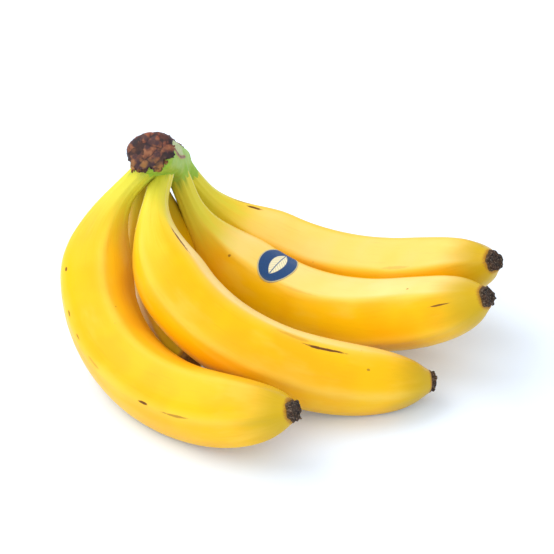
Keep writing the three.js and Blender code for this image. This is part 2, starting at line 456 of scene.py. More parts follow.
def skin_points(number):
    """All points of a finger's skin, ring by ring, then the two rolled ends."""
    line = lines[number]
    radii, crest, bloom = skins[number]
    ways_round = np.cos(ANGLES)[None, :, None] * line.inner[:, None, :]
    ways_round = ways_round + np.sin(ANGLES)[None, :, None] * line.side[None, None, :]
    rings = line.points[:, None, :] + radii[:, :, None] * ways_round
    first = []
    last = []
    for share, outward in CUP:
        root_ring = line.points[0] + share * (rings[0] - line.points[0])
        tip_ring = line.points[-1] + share * (rings[-1] - line.points[-1])
        first.append(root_ring - line.ways[0] * outward * MM)
        last.append(tip_ring + line.ways[-1] * outward * MM)
    return np.concatenate([first[::-1], rings, last]), crest, bloom


def ring_faces(ring_count, round_count):
    """Quads between neighbouring rings, and a fan of triangles at each end."""
    faces = []
    for ring in range(ring_count - 1):
        for k in range(round_count):
            after = (k + 1) % round_count
            low = ring * round_count
            high = low + round_count
            faces.append((low + k, low + after, high + after, high + k))
    first_centre = ring_count * round_count
    top = (ring_count - 1) * round_count
    for k in range(round_count):
        after = (k + 1) % round_count
        faces.append((first_centre, after, k))
        faces.append((first_centre + 1, top + k, top + after))
    return faces


def tube(rings):
    """A closed skin over rings of points: its points and its faces."""
    rings = np.array(rings)
    centres = np.array([rings[0].mean(0), rings[-1].mean(0)])
    points = np.concatenate([rings.reshape(-1, 3), centres])
    return points, ring_faces(len(rings), rings.shape[1])


def lay_skin(number, finish):
    """The finished skin of one finger, with its flow, ridges and painted highlight at each point."""
    line = lines[number]
    rings, crest, bloom = skin_points(number)
    extra = len(CUP)
    points, faces = tube(rings)
    name = f"peel_{number}"
    piece = make_piece(name, points, faces, finish, [f"banana_{number}"])
    along = np.concatenate([np.zeros(extra), line.along, np.full(extra, line.length)])
    flow = np.zeros((len(rings), ROUND, 3))
    flow[:, :, 0] = FLOW_RADIUS * np.cos(ANGLES)
    flow[:, :, 1] = FLOW_RADIUS * np.sin(ANGLES)
    flow[:, :, 2] = along[:, None]
    ends = np.array([[0, 0, 0], [0, 0, line.length]])
    carry(piece, "flow", "FLOAT_VECTOR", np.concatenate([flow.reshape(-1, 3), ends]))
    for name, mask in (("ridge", crest), ("bloom", bloom)):
        mask = np.pad(mask, ((extra, extra), (0, 0)))
        carry(piece, name, "FLOAT", np.concatenate([mask.ravel(), [0, 0]]))
    return piece


# %% [markdown]
# ## The peel's finish
# Ripe peel is a saturated yellow that is never even: it clouds over a few centimetres, stays
# lime at the neck, turns olive beside the dry flower end, and is rubbed brown where fingers have
# chafed, mostly on the ridges. A flat yellow would look like plastic. The colour is built in that
# order, from the widest change to the smallest. The ridges are painted a little paler and the facet
# that lies uppermost is painted cream with an edge at the ridge, both painted highlights. Each rub
# is an oval in the flow of the peel with a ragged edge, so it bends with the fruit. The wax makes a soft
# satin gloss.

# %% Colours of the peel
YELLOW = (0.92, 0.515, 0.002)
WARM_YELLOW = (0.90, 0.455, 0.002)
PALE_YELLOW = (0.94, 0.67, 0.13)
HIGHLIGHT_CREAM = (0.95, 0.74, 0.27)
HIGHLIGHT_STRENGTH = {1: 0.06, 2: 0.9, 3: 0.95, 4: 0.7, 5: 0.1}  # how strong the painted highlight on the uppermost facet is
LIME = (0.72, 0.66, 0.055)
GREEN = (0.25, 0.42, 0.05)
OLIVE = (0.50, 0.35, 0.012)
PAINTED_SHADE_FINGERS = (5,)  # the hidden finger, whose peel is darkened with painted shade
PAINTED_SHADE_TINT = (0.48, 0.42, 0.25)
RUB_BROWN = (0.16, 0.06, 0.012)
RUB_TAN = (0.42, 0.19, 0.02)

# Rubs on each finger: along in mm, angle in degrees from the inside of the bend,
# half length and half width in mm, and how dark it is.
RUBS = {
    1: (
        (70, 107, 1.1, 0.6, 0.75),
        (90, 112, 2.0, 0.5, 0.6),
        (102, 112, 2.4, 0.5, 0.5),
        (116, 113, 5.0, 0.5, 0.35),
        (149, 113, 2.8, 0.55, 0.95),
        (166, 115, 7.0, 0.6, 0.5),
    ),
    2: (
        (55, 63, 10.0, 0.8, 0.85),
        (136, 70, 10.0, 0.9, 0.3),
        (152, 76, 9.5, 0.65, 0.95),
        (173, 97, 0.9, 0.7, 0.5),
    ),
    3: (
        (58, 46, 0.9, 0.8, 0.6),
        (185, 62, 5.0, 0.55, 0.75),
        (168, 20, 0.7, 0.6, 0.5),
        (104, 40, 12.0, 0.7, 0.22),
    ),
    4: (
        (42, -38, 8.0, 0.8, 0.5),
        (49, -27, 4.5, 0.8, 0.85),
        (150, 30, 9.0, 0.8, 0.25),
    ),
    5: (
        (70, 20, 9.0, 1.0, 0.35),
        (104, 140, 2.2, 1.2, 0.6),
    ),
}


# %% One rub in the flow of the peel
def rub_mask(finish, flow, ragged, rub):
    """1 inside an oval rub, with an edge that frays along the finger."""
    along, degrees, half_length, half_width, depth = rub
    angle = math.radians(degrees)
    centre = (FLOW_RADIUS * math.cos(angle), FLOW_RADIUS * math.sin(angle), along * MM)
    offset = finish.node("ShaderNodeVectorMath", {"operation": "SUBTRACT"}, {0: flow, 1: centre})
    sizes = (1 / (half_width * MM), 1 / (half_width * MM), 1 / (half_length * MM))
    away = finish.scaled(offset, sizes)
    distance = finish.node("ShaderNodeVectorMath", {"operation": "LENGTH"}, {0: away}, "Value")
    frayed = distance + ragged
    return (1 - finish.step(frayed, 0.55, 1.25)) * depth


# %% The whole peel
def peel_finish(number):
    shine = 0.05 if number in PAINTED_SHADE_FINGERS else 0.20
    finish = Finish(f"peel_{number}", {"IOR": 1.42, "Specular IOR Level": shine, "Coat Roughness": 0.32})
    length = lines[number].length
    flow = finish.carried("flow", "Vector")
    ridge = finish.carried("ridge")
    along = finish.part(flow, "Z")
    shift = (number * 0.31, number * 0.17, 0.0)

    wide = finish.noise(flow, 38, 2.0, 0.5, shift)
    broad = finish.noise(finish.scaled(flow, (1.0, 1.0, 0.35)), 90, 3.0, 0.55, shift)
    strands = finish.noise(finish.scaled(flow, (1.0, 1.0, 0.07)), 900, 3.0, 0.6, shift)
    fine = finish.noise(flow, 1300, 3.0, 0.6, shift)

    colour = finish.mix(finish.step(wide, 0.38, 0.66), YELLOW, WARM_YELLOW)
    colour = finish.mix(finish.step(broad, 0.50, 0.72) * 0.2, colour, PALE_YELLOW)
    # painted highlight: the ridges are painted paler, as light catches the crests
    colour = finish.mix(ridge * 0.30, colour, PALE_YELLOW)
    # painted highlight: the uppermost facet is painted cream, where light from above would fall on it
    top_highlight = finish.carried("bloom") * (0.75 + (wide - 0.5) * 0.8) * HIGHLIGHT_STRENGTH[number]
    colour = finish.mix(top_highlight, colour, HIGHLIGHT_CREAM)

    unripe = along + (broad - 0.5) * 0.030 + (strands - 0.5) * 0.012
    colour = finish.mix(1 - finish.step(unripe, 0.020, 0.062), colour, LIME)
    colour = finish.mix(1 - finish.step(unripe, 0.002, 0.016), colour, GREEN)
    # painted shade: the hidden finger lies in the others' shade, so its peel is darkened, darkest at the
    # neck
    if number in PAINTED_SHADE_FINGERS:
        colour = finish.multiply(0.75 - finish.step(along, 0.040, 0.085) * 0.25, colour, PAINTED_SHADE_TINT)

    to_tip = length - along
    withered = to_tip + (broad - 0.5) * 0.012
    colour = finish.mix((1 - finish.step(withered, 0.004, 0.026)) * 0.75, colour, OLIVE)
    colour = finish.mix(1 - finish.step(to_tip + (fine - 0.5) * 0.003, -0.0004, 0.0012), colour, RUB_TAN)

    colour = finish.multiply(finish.step(strands, 0.55, 0.8) * 0.10, colour, RUB_TAN)

    spots = finish.node("ShaderNodeTexVoronoi", None, {"Vector": flow, "Scale": 150.0}, "Distance")
    here = finish.step(finish.noise(flow, 60, 1.0, 0.5, (3.0, 1.0, number)), 0.60, 0.66)
    freckles = (1 - finish.step(spots, 0.045, 0.10)) * here
    colour = finish.mix(freckles * 0.55, colour, RUB_TAN)

    grain = finish.noise(finish.scaled(flow, (1.0, 1.0, 0.25)), 700, 4.0, 0.7, shift)
    ragged = (grain - 0.5) * 1.9
    rubs = None
    for rub in RUBS[number]:
        mask = rub_mask(finish, flow, ragged, rub)
        rubs = mask if rubs is None else rubs.max(mask)
    colour = finish.mix(finish.step(rubs, 0.05, 0.5) * 0.6, colour, RUB_TAN)
    colour = finish.mix(finish.step(rubs, 0.3, 0.9), colour, RUB_BROWN)
    finish.feed("Base Color", colour)

    gloss = 0.36 + (broad - 0.5) * 0.12 + (fine - 0.5) * 0.10 + rubs * 0.25
    finish.feed("Roughness", gloss)
    finish.feed("Coat Weight", (0.06 - rubs * 0.05) * (shine / 0.20))

    height = fine * 0.35 + strands * 0.65 - rubs * 0.8
    finish.feed("Normal", finish.bump(height, 0.00007))
    return finish


peels = {number: lay_skin(number, peel_finish(number)) for number in FINGERS}

# %% [markdown]
# ## The crown
# The crown is where the fingers grow together. Its inside is the same fresh green flesh as the
# necks, so it is made as one soft lump that flows into them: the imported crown's outline and the
# first stretch of every neck are joined by a fine remesh, which rounds the hollows between them
# as growth does. The cut stalk then dried, so a brown cork lies over the near end, the top and
# the far side, broken into plates with a ragged lower edge. The right wall stayed pale and green.

# %% Directions of the crown
ROW = (1, 2, 3, 4)
roots = {number: lines[number].points[0] for number in FINGERS}
row_way = unit(roots[4] - roots[1])
row_middle = np.mean([roots[number] for number in ROW], axis=0)
row_up = unit(np.cross((1.0, 0.0, 0.0), row_way))
row_across = np.cross(row_way, row_up)
crown_axes = np.array([row_across, row_up, row_way])


def in_crown(points):
    """Places measured from the middle of the row of roots: across, up and along the row."""
    return (np.asarray(points) - row_middle) @ crown_axes.T


def from_crown(places):
    return np.asarray(places) @ crown_axes + row_middle


crown_points, _ = solid_arrays("crown")
crown_places = in_crown(crown_points)
crown_size = (crown_places.max(0) - crown_places.min(0)) / MM
print("crown, across, up and along in mm:", crown_size.round(1))


# %% Join shapes into one skin
def closed_lump(points):
    """The tight hull of some points, as points and faces."""
    shape = bmesh.new()
    for point in points:
        shape.verts.new(point)
    bmesh.ops.convex_hull(shape, input=shape.verts)
    loose = [vertex for vertex in shape.verts if not vertex.link_faces]
    bmesh.ops.delete(shape, geom=loose, context="VERTS")
    shape.verts.index_update()
    hull_points = np.array([vertex.co for vertex in shape.verts])
    hull_faces = [tuple(vertex.index for vertex in face.verts) for face in shape.faces]
    shape.free()
    return hull_points, hull_faces


def fused(parts, voxel, smoothing):
    """Several closed shapes, remeshed into one and smoothed."""
    points = []
    faces = []
    for part_points, part_faces in parts:
        first = len(points)
        points.extend(tuple(p) for p in part_points)
        faces.extend(tuple(int(i) + first for i in face) for face in part_faces)
    mesh = bpy.data.meshes.new("joining")
    mesh.from_pydata(points, [], faces)
    joined = bpy.data.objects.new("joining", mesh)
    bpy.context.scene.collection.objects.link(joined)
    remesh = joined.modifiers.new("remesh", "REMESH")
    remesh.mode = "VOXEL"
    remesh.voxel_size = voxel
    smooth = joined.modifiers.new("smooth", "SMOOTH")
    smooth.factor = 0.5
    smooth.iterations = smoothing
    graph = bpy.context.evaluated_depsgraph_get()
    result = joined.evaluated_get(graph).to_mesh()
    out_points = np.array([vertex.co for vertex in result.vertices])
    out_faces = [tuple(face.vertices) for face in result.polygons]
    bpy.data.objects.remove(joined)
    bpy.data.meshes.remove(mesh)
    return out_points, out_faces


def point_normals(points, faces):
    """Outward direction at each point of a mesh of quads and triangles."""
    normals = np.zeros_like(points)
    for face in faces:
        corners = points[list(face)]
        square = np.cross(corners[2] - corners[0], corners[-1] - corners[1])
        normals[list(face)] += square
    lengths = np.linalg.norm(normals, axis=1)[:, None]
    return normals / np.maximum(lengths, 1e-12)


def drift(point, size, seed):
    """Smooth noise from -1 to 1 at a place, for clouds of that size."""
    return noise.noise(Vector(point) / size + Vector((seed, 2.3 * seed, 0.7 * seed)))


# %% Flesh of the crown
NECK_COVER = 15 * MM  # how far the flesh runs down each neck before it dives under the peel


def neck_tube(number):
    """The first stretch of a neck, a little proud of the peel at the crown and under it further on."""
    line = lines[number]
    radii = skins[number][0]
    count = int(NECK_COVER / RING_GAP) + 1
    stations = (0, 0.45 * NECK_COVER, NECK_COVER)
    proud = np.interp(line.along[:count], stations, (0.5 * MM, 0.45 * MM, -0.6 * MM))
    rings = []
    for ring in range(count):
        ways = ring_ways(line.inner[ring], line.side, ANGLES)
        rings.append(line.points[ring] + (radii[ring] + proud[ring])[:, None] * ways)
    return tube(rings)


lump_points, lump_faces = closed_lump(crown_points)
core = lump_points.mean(0) + (lump_points - lump_points.mean(0)) * 0.97
parts = [(core, lump_faces)] + [neck_tube(number) for number in FINGERS]
flesh_points, flesh_faces = fused(parts, 0.8 * MM, 10)
flesh_normals = point_normals(flesh_points, flesh_faces)
for k, point in enumerate(flesh_points):
    flesh_points[k] += flesh_normals[k] * 0.3 * MM * drift(point, 5 * MM, 1.0)
print("crown flesh has", len(flesh_points), "points")


# %% [markdown]
# The fresh flesh is bright green under the cork and turns lime along the necks, as the peel
# does, with fibres that run the way the fruit grew. The wall that was rubbed bare is paler.

# %% Finish of the flesh
def flesh_finish():
    finish = Finish("crown_flesh", {"IOR": 1.42, "Specular IOR Level": 0.2})
    place = finish.carried("place", "Vector")
    down = finish.carried("down_neck")
    bare = finish.carried("bare")
    cloud = finish.noise(place, 160, 3.0, 0.6)
    strands = finish.noise(finish.scaled(place, (1.0, 0.16, 1.0)), 900, 3.0, 0.65)
    reach = down + (cloud - 0.5) * 0.008
    colour = finish.mix(finish.step(cloud, 0.35, 0.7), (0.28, 0.50, 0.05), (0.38, 0.56, 0.09))
    colour = finish.mix(finish.step(reach, 0.003, 0.014), colour, (0.47, 0.54, 0.05))
    pale = finish.mix(finish.step(strands, 0.35, 0.7), (0.40, 0.50, 0.22), (0.58, 0.62, 0.36))
    colour = finish.mix(bare, colour, pale)
    scar = finish.carried("scar")
    colour = finish.mix(finish.step(scar + (strands - 0.5) * 0.5, 0.35, 0.7), colour, (0.36, 0.20, 0.09))
    colour = finish.mix(finish.step(scar + (strands - 0.5) * 0.5, 0.8, 1.0), colour, (0.14, 0.07, 0.04))
    finish.feed("Base Color", colour)
    finish.feed("Roughness", 0.5 + (strands - 0.5) * 0.2 + bare * 0.15)
    finish.feed("Normal", finish.bump(strands * 0.7 + cloud * 0.3, 0.0002))
    return finish


# %% Lay the flesh
def down_the_neck(points):
    """Distance from the nearest root, at each point."""
    ends = np.array([roots[number] for number in FINGERS])
    gaps = np.linalg.norm(points[:, None] - ends[None], axis=2)
    return np.maximum(gaps.min(1) - 7 * MM, 0)


def scar_line(places):
    """1 on the raised scar that runs round the bare wall, and 0 away from it."""
    across, up, along = (places / MM).T
    centre = 0.6 + 1.0 * np.sin(along / 7.0)
    fade = soft_step(across, 3.0, 5.5) * (1 - soft_step(along, 4.0, 9.0))
    return np.exp(-(((up - centre) / 1.1) ** 2)) * fade


flesh_places = in_crown(flesh_points)
flesh_scar = scar_line(flesh_places)
flesh_points += flesh_normals * (flesh_scar * 0.7 * MM)[:, None]
flesh = make_piece("crown_flesh", flesh_points, flesh_faces, flesh_finish(), ["crown"])
carry(flesh, "place", "FLOAT_VECTOR", flesh_places)
carry(flesh, "down_neck", "FLOAT", down_the_neck(flesh_points))
bare_wall = soft_step(flesh_places[:, 0] / MM, 1.5, 4.5) * soft_step(flesh_places[:, 1] / MM, 0.0, 1.6)
bare_wall *= 1 - soft_step(flesh_places[:, 2] / MM, -2.0, 7.0)
carry(flesh, "bare", "FLOAT", bare_wall)
carry(flesh, "scar", "FLOAT", flesh_scar)


# %% [markdown]
# ## The cork
# Dried stalk breaks into small plates with dark cracks between them, and its lower edge stands
# off the necks in torn flaps. Painting it on the flesh would leave a clean outline, so it is a
# shell of its own: the hull is remeshed finely, each plate is lifted by its own height, the edge
# is cut where noise says so, and the shell is given thickness.

# %% Where the cork lies and how high each plate stands
CORK_THICKNESS = 1.1 * MM


def cork_cover(places):
    """Above 0 where cork covers the crown."""
    across, up, along = (places / MM).T
    near_end = soft_step(-along, 25.5, 28.5)
    wall = 2.2 + 4.5 * near_end - across
    left = soft_step(-across, -3.2, -1.6) - 2.2 * soft_step(-across, 10.5, 14.0)
    right = soft_step(across, 2.2, 3.6) * near_end
    floor = up + 3.5 + 3.6 * near_end + 2.0 * left - 3.2 * right
    ragged = np.array([drift(p, 2.6 * MM, 4.0) for p in places])
    fine = np.array([drift(p, 1.2 * MM, 9.0) for p in places])
    return np.minimum(wall, floor) + 1.8 * ragged + 0.9 * fine


def plate_heights(places):
    """Each plate has its own height, with a crack round it."""
    heights = []
    for place in places:
        stretched = Vector((place[0], place[1], 0.7 * place[2])) / (5.6 * MM)
        stretched += Vector((0.4, 0.4, 0.4)) * noise.noise(Vector(place) / (2.5 * MM))
        gaps, centres = noise.voronoi(stretched)
        level = noise.cell(centres[0] * 7.3)
        crack = min(1.0, (gaps[1] - gaps[0]) * 4.0)
        heights.append((0.45 + 0.5 * level) * crack)
    return np.array(heights)


def cork_shell():
    """The open sheet of cork, before it is given thickness."""
    points, faces = fused([(lump_points, lump_faces)], 0.6 * MM, 4)
    places = in_crown(points)
    cover = cork_cover(places)
    plates = plate_heights(places)
    normals = point_normals(points, faces)
    lifted = points + normals * ((0.3 + 0.55 * plates) * MM)[:, None]
    near_edge = 1 - soft_step(cover, 0.0, 2.5)
    curl = near_edge * np.array([max(0.0, drift(p, 3 * MM, 6.0)) for p in places])
    lifted += normals * (curl * 1.6 * MM)[:, None]
    kept_faces = [face for face in faces if min(cover[i] for i in face) > 0]
    used = sorted({i for face in kept_faces for i in face})
    number_of = {old: new for new, old in enumerate(used)}
    kept_faces = [tuple(number_of[i] for i in face) for face in kept_faces]
    return lifted[used], kept_faces, plates[used], places[used]


# %% Finish of the cork
def cork_finish():
    finish = Finish("dry_cork", {"IOR": 1.4})
    place = finish.carried("place", "Vector")
    plate = finish.carried("plate")
    up = finish.part(place, "Y")
    patches = finish.noise(place, 230, 3.0, 0.6, (0.3, 0.1, 0.9))
    other = finish.noise(place, 170, 2.0, 0.5, (7.3, 4.1, 2.9))
    strands = finish.noise(finish.scaled(place, (1.0, 0.22, 1.0)), 1000, 4.0, 0.7)
    stops = (
        (0.30, (0.018, 0.009, 0.012)),
        (0.44, (0.060, 0.022, 0.024)),
        (0.55, (0.150, 0.048, 0.026)),
        (0.66, (0.270, 0.100, 0.045)),
        (0.80, (0.330, 0.150, 0.075)),
    )
    tone = patches + plate * 0.12 + (strands - 0.5) * 0.16
    colour = finish.node("ShaderNodeValToRGB", {"stops": stops}, {"Fac": tone})
    red = finish.step(up + (other - 0.5) * 0.010, 0.002, 0.008) * finish.step(other, 0.45, 0.6)
    colour = finish.mix(red * 0.6, colour, (0.26, 0.055, 0.025))
    low = 1 - finish.step(up + (other - 0.5) * 0.010, -0.008, -0.001)
    amber = low * finish.step(other, 0.42, 0.62)
    colour = finish.mix(amber * 0.75, colour, (0.42, 0.20, 0.035))
    dusk = 1 - finish.step(other, 0.45, 0.53)
    colour = finish.mix(dusk * 0.8, colour, (0.040, 0.018, 0.026))
    cracks = 1 - finish.step(plate, 0.05, 0.32)
    colour = finish.mix(cracks * 0.75, colour, (0.016, 0.009, 0.010))
    finish.feed("Base Color", colour)
    finish.feed("Roughness", 0.62 + (patches - 0.5) * 0.3)
    finish.feed("Normal", finish.bump(strands + patches * 0.6, 0.00035))
    return finish


cork = cork_finish()


def lay_cork(name, points, faces, plates, places):
    piece = make_piece(name, points, faces, cork, ["crown"])
    carry(piece, "place", "FLOAT_VECTOR", places)
    carry(piece, "plate", "FLOAT", plates)
    thick = piece.modifiers.new("thickness", "SOLIDIFY")
    thick.thickness = CORK_THICKNESS
    thick.offset = -1
    return piece


lay_cork("crown_cork", *cork_shell())

# %% [markdown]
# Torn flaps hang from the cork's lower edge at the near end, over the first two necks. Each one
# is a small sheet, wider at its root, with a jagged free edge, bent along its length and curled
# at the tip. They are placed in the crown's own directions: across, up and along the row.

# %% Flaps of torn cork
# across, up and along the row in mm, length, width, lean sideways in degrees, lift in degrees
FLAPS = (
    (-11.6, -2.8, -28.0, 7.5, 5.0, 4, 14),
    (-10.2, -4.0, -29.0, 5.0, 5.0, -4, 10),
    (-6.6, -4.2, -30.5, 5.6, 5.2, 3, 14),
    (-2.4, -4.0, -31.0, 4.6, 5.6, -6, 8),
    (2.2, -3.6, -30.5, 3.6, 4.8, -12, 10),
)
FLAP_ROWS = 12
FLAP_COLUMNS = 13


def flap_sheet(index, flap):
    """A jagged little sheet that hangs down from its root."""
    across, up, along, length, width, lean, lift = flap
    sheet = []
    for row in range(FLAP_ROWS):
        for column in range(FLAP_COLUMNS):
            sideways = column / (FLAP_COLUMNS - 1) - 0.5
            torn = 0.72 + 0.34 * noise.noise(Vector((6.5 * sideways + 3.1 * index, 0.4 * index, 1.7)))
            hang = row / (FLAP_ROWS - 1) * torn
            narrow = 1 - 0.35 * hang
            rise = 0.30 * noise.noise(Vector((5 * sideways, 4 * hang, 5.0 * index)))
            curl = 0.9 * hang * hang
            outward = length * (math.sin(math.radians(lift)) * hang + 0.22 * curl) + 0.8 * rise
            place = Vector((width * narrow * sideways, -length * hang, -outward))
            place = Matrix.Rotation(-math.radians(lean), 3, "Z") @ place
            bow = 0.6 * (2 * sideways) ** 2
            sheet.append((place.x + across, place.y + up, place.z + along + bow))
    faces = []
    for row in range(FLAP_ROWS - 1):
        for column in range(FLAP_COLUMNS - 1):
            k = row * FLAP_COLUMNS + column
            faces.append((k, k + FLAP_COLUMNS, k + FLAP_COLUMNS + 1, k + 1))
    return np.array(sheet) * MM, faces


for index, flap in enumerate(FLAPS, start=1):
    flap_places, flap_faces = flap_sheet(index, flap)
    plates = 0.2 + 0.6 * np.array([0.5 + drift(p, 2 * MM, index) for p in flap_places])
    lay_cork(f"cork_flap_{index}", from_crown(flap_places), flap_faces, plates, flap_places)

# %% [markdown]
# ## Withered flower ends
# A banana ends in what is left of its flower: a hard blackish knob with a waist, a greyish torn
# mouth and a few short spurs. A smooth cap would look turned on a lathe, so each knob is a lathed
# form with lobes and spurs of its own, fused by a fine remesh and roughened by noise.

# %% Finish of the flower ends
def husk_finish(name, brownness):
    """Blackish, or mixed toward brown as far as brownness says."""
    finish = Finish(name, {"IOR": 1.4, "Specular IOR Level": 0.3})
    place = finish.carried("place", "Vector")
    out = finish.part(place, "Z")
    cloud = finish.noise(place, 420, 4.0, 0.65)
    grain = finish.noise(finish.scaled(place, (1.0, 1.0, 0.3)), 1500, 3.0, 0.7)
    colour = finish.mix(finish.step(cloud, 0.40, 0.62), (0.012, 0.008, 0.007), (0.060, 0.030, 0.018))
    colour = finish.mix(finish.step(grain, 0.50, 0.66) * 0.7, colour, (0.27, 0.20, 0.14))
    rim = 1 - finish.step(out + (cloud - 0.5) * 0.002, 0.0002, 0.0015)
    colour = finish.mix(rim * 0.45, colour, (0.20, 0.11, 0.03))
    colour = finish.mix(brownness, colour, (0.34, 0.16, 0.025))
    finish.feed("Base Color", colour)
    finish.feed("Roughness", 0.70 + (cloud - 0.5) * 0.3)
    finish.feed("Normal", finish.bump(grain + cloud, 0.0003))
    return finish


# %% Knobs with lobes and spurs
HUSK_RADIUS = 4.9 * MM
# share of the radius, and mm outward from the end of the finger
HUSK_PROFILE = (
    (1.0, -0.9),
    (1.06, 0.2),
    (0.96, 0.8),
    (0.86, 1.4),
    (0.94, 2.1),
    (0.97, 2.6),
    (0.72, 3.0),
    (0.42, 2.3),
)
HUSK_ROUND = 40
SPUR_ROUND = 10
SPURS = 3
HUSK_VOXEL = 0.25 * MM
old_husk = husk_finish("dry_husk", 0.0)
brown_husk = husk_finish("brown_husk", 0.75)


def husk_form(number):
    """The knob's body: lobed rings along the finger's end heading, in millimetre steps."""
    line = lines[number]
    end = line.points[-1]
    way = line.ways[-1]
    inner = line.inner[-1]
    turns = np.linspace(0, 2 * np.pi, HUSK_ROUND, endpoint=False)
    rings = []
    for share, out in HUSK_PROFILE:
        lobes = 1 + 0.07 * np.cos(5 * turns + number) + 0.05 * np.cos(3 * turns + 2.1 * number)
        seed = 2.0 * number + out / 3
        waver = [0.5 * noise.noise(Vector((math.cos(t), math.sin(t), seed))) for t in turns]
        radius = HUSK_RADIUS * share * lobes
        height = (out + np.array(waver) * (1.0 if out > 2 else 0.3)) * MM
        ring = end + radius[:, None] * ring_ways(inner, line.side, turns)
        rings.append(ring + height[:, None] * way)
    return tube(rings)


def spur(number, turn, lean, length, thickness):
    """A short dry spur on the knob's mouth, as a tapered bent cone."""
    line = lines[number]
    out_way = math.cos(turn) * line.inner[-1] + math.sin(turn) * line.side
    across = np.cross(out_way, line.ways[-1])
    start = line.points[-1] + line.ways[-1] * 1.7 * MM + out_way * 0.70 * HUSK_RADIUS
    heading = unit(line.ways[-1] + lean * out_way)
    upright = unit(np.cross(heading, across))
    turns = np.linspace(0, 2 * np.pi, SPUR_ROUND, endpoint=False)
    rings = []
    for share in (0.0, 0.35, 0.7, 1.0):
        middle = start + heading * length * share + out_way * 0.25 * length * share * share
        radius = thickness * (1 - 0.75 * share)
        rings.append(middle + radius * ring_ways(across, upright, turns))
    return tube(rings)


draws = np.random.default_rng(7)
for number in FINGERS:
    line = lines[number]
    shapes = [husk_form(number)]
    for _ in range(SPURS):
        turn = draws.uniform(0, 2 * np.pi)
        lean = draws.uniform(0.1, 0.55)
        length = draws.uniform(1.2, 2.4) * MM
        shapes.append(spur(number, turn, lean, length, draws.uniform(1.1, 1.6) * MM))
    points, faces = fused(shapes, HUSK_VOXEL, 3)
    normals = point_normals(points, faces)
    for k, point in enumerate(points):
        lump = drift(point, 1.6 * MM, number) * 0.30 + drift(point, 0.7 * MM, number + 5) * 0.16
        points[k] += normals[k] * lump * MM
    name = f"flower_end_{number}"
    husk = brown_husk if number in PAINTED_SHADE_FINGERS else old_husk
    piece = make_piece(name, points, faces, husk, [f"blossom_end_{number}"])
    local = points - line.points[-1]
    places = np.array([local @ line.inner[-1], local @ line.side, local @ line.ways[-1]]).T
    carry(piece, "place", "FLOAT_VECTOR", places)

# %% [markdown]
# ## The label
# A fruit label is a thin oval of plastic film pressed onto the peel, so it follows every ridge
# under it. It is laid as rings of points on the finished skin, found by rays from the middle
# line, and stands only a sixth of a millimetre proud. Its print is plain: a cream leaf on blue.

# %% Finish of the label
LEAF = (0.86, 0.78, 0.50)
DISC_SHIFT = 0.45  # of the two discs that make the leaf, in half lengths of the label


def label_finish():
    finish = Finish("printed_film", {"IOR": 1.45, "Specular IOR Level": 0.3, "Coat Roughness": 0.2})
    print_place = finish.carried("print", "Vector")
    x, y, rim = [finish.part(print_place, axis) for axis in ("X", "Y", "Z")]
    fibre = finish.noise(print_place, 14.0, 4.0, 0.6)
    blue = finish.mix(finish.step(fibre, 0.35, 0.7), (0.006, 0.048, 0.165), (0.009, 0.062, 0.20))
    # the leaf is where two discs overlap
    tall = y * y
    left = ((x + DISC_SHIFT) * (x + DISC_SHIFT) + tall).changed("SQRT")
    right = ((x - DISC_SHIFT) * (x - DISC_SHIFT) + tall).changed("SQRT")
    inside = 1 - finish.step(left.max(right) + (fibre - 0.5) * 0.02, 0.80, 0.83)
    from_midrib = x.changed("ABSOLUTE")
    midrib = 1 - finish.step(from_midrib, 0.015, 0.035)
    slant = from_midrib * 0.8 - y
    veins = finish.step((slant * 42.0).changed("SINE"), 0.80, 0.97) * 0.55
    colour = finish.mix(inside, blue, LEAF)
    colour = finish.mix(inside * midrib.max(veins), colour, (0.02, 0.10, 0.25))
    edge = finish.step(rim, 0.93, 0.955)
    colour = finish.mix(edge * 0.8, colour, (0.70, 0.62, 0.30))
    finish.feed("Base Color", colour)
    finish.feed("Roughness", 0.33 + (fibre - 0.5) * 0.15)
    finish.feed("Coat Weight", 0.12 - edge * 0.08)
    finish.feed("Normal", finish.bump(fibre + inside * 0.5, 0.00004))
    return finish


# %% Lay the label on the peel
LABEL_FINGER = 3
LABEL_RINGS = 22
LABEL_ROUND = 72
LABEL_LIFT = 0.16 * MM
LABEL_WIDER = 1.1  # width round the finger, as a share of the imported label's
LABEL_TURN = -6.0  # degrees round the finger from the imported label


def label_frame():
    """The label's place along and round its finger, its half sizes and its distance out."""
    line = lines[LABEL_FINGER]
    points, _ = solid_arrays("sticker")
    nearest = np.linalg.norm(points[:, None] - line.points[None], axis=2).argmin(1)
    offset = points - line.points[nearest]
    angle = np.arctan2(offset @ line.side, (offset * line.inner[nearest]).sum(1))
    radius = np.linalg.norm(offset, axis=1).mean()
    along = line.along[nearest]
    centre = (along.min() + along.max()) / 2
    turn = (angle.min() + angle.max()) / 2 + math.radians(LABEL_TURN)
    half_width = LABEL_WIDER * np.ptp(angle) / 2 * radius
    return centre, turn, np.ptp(along) / 2, half_width, radius


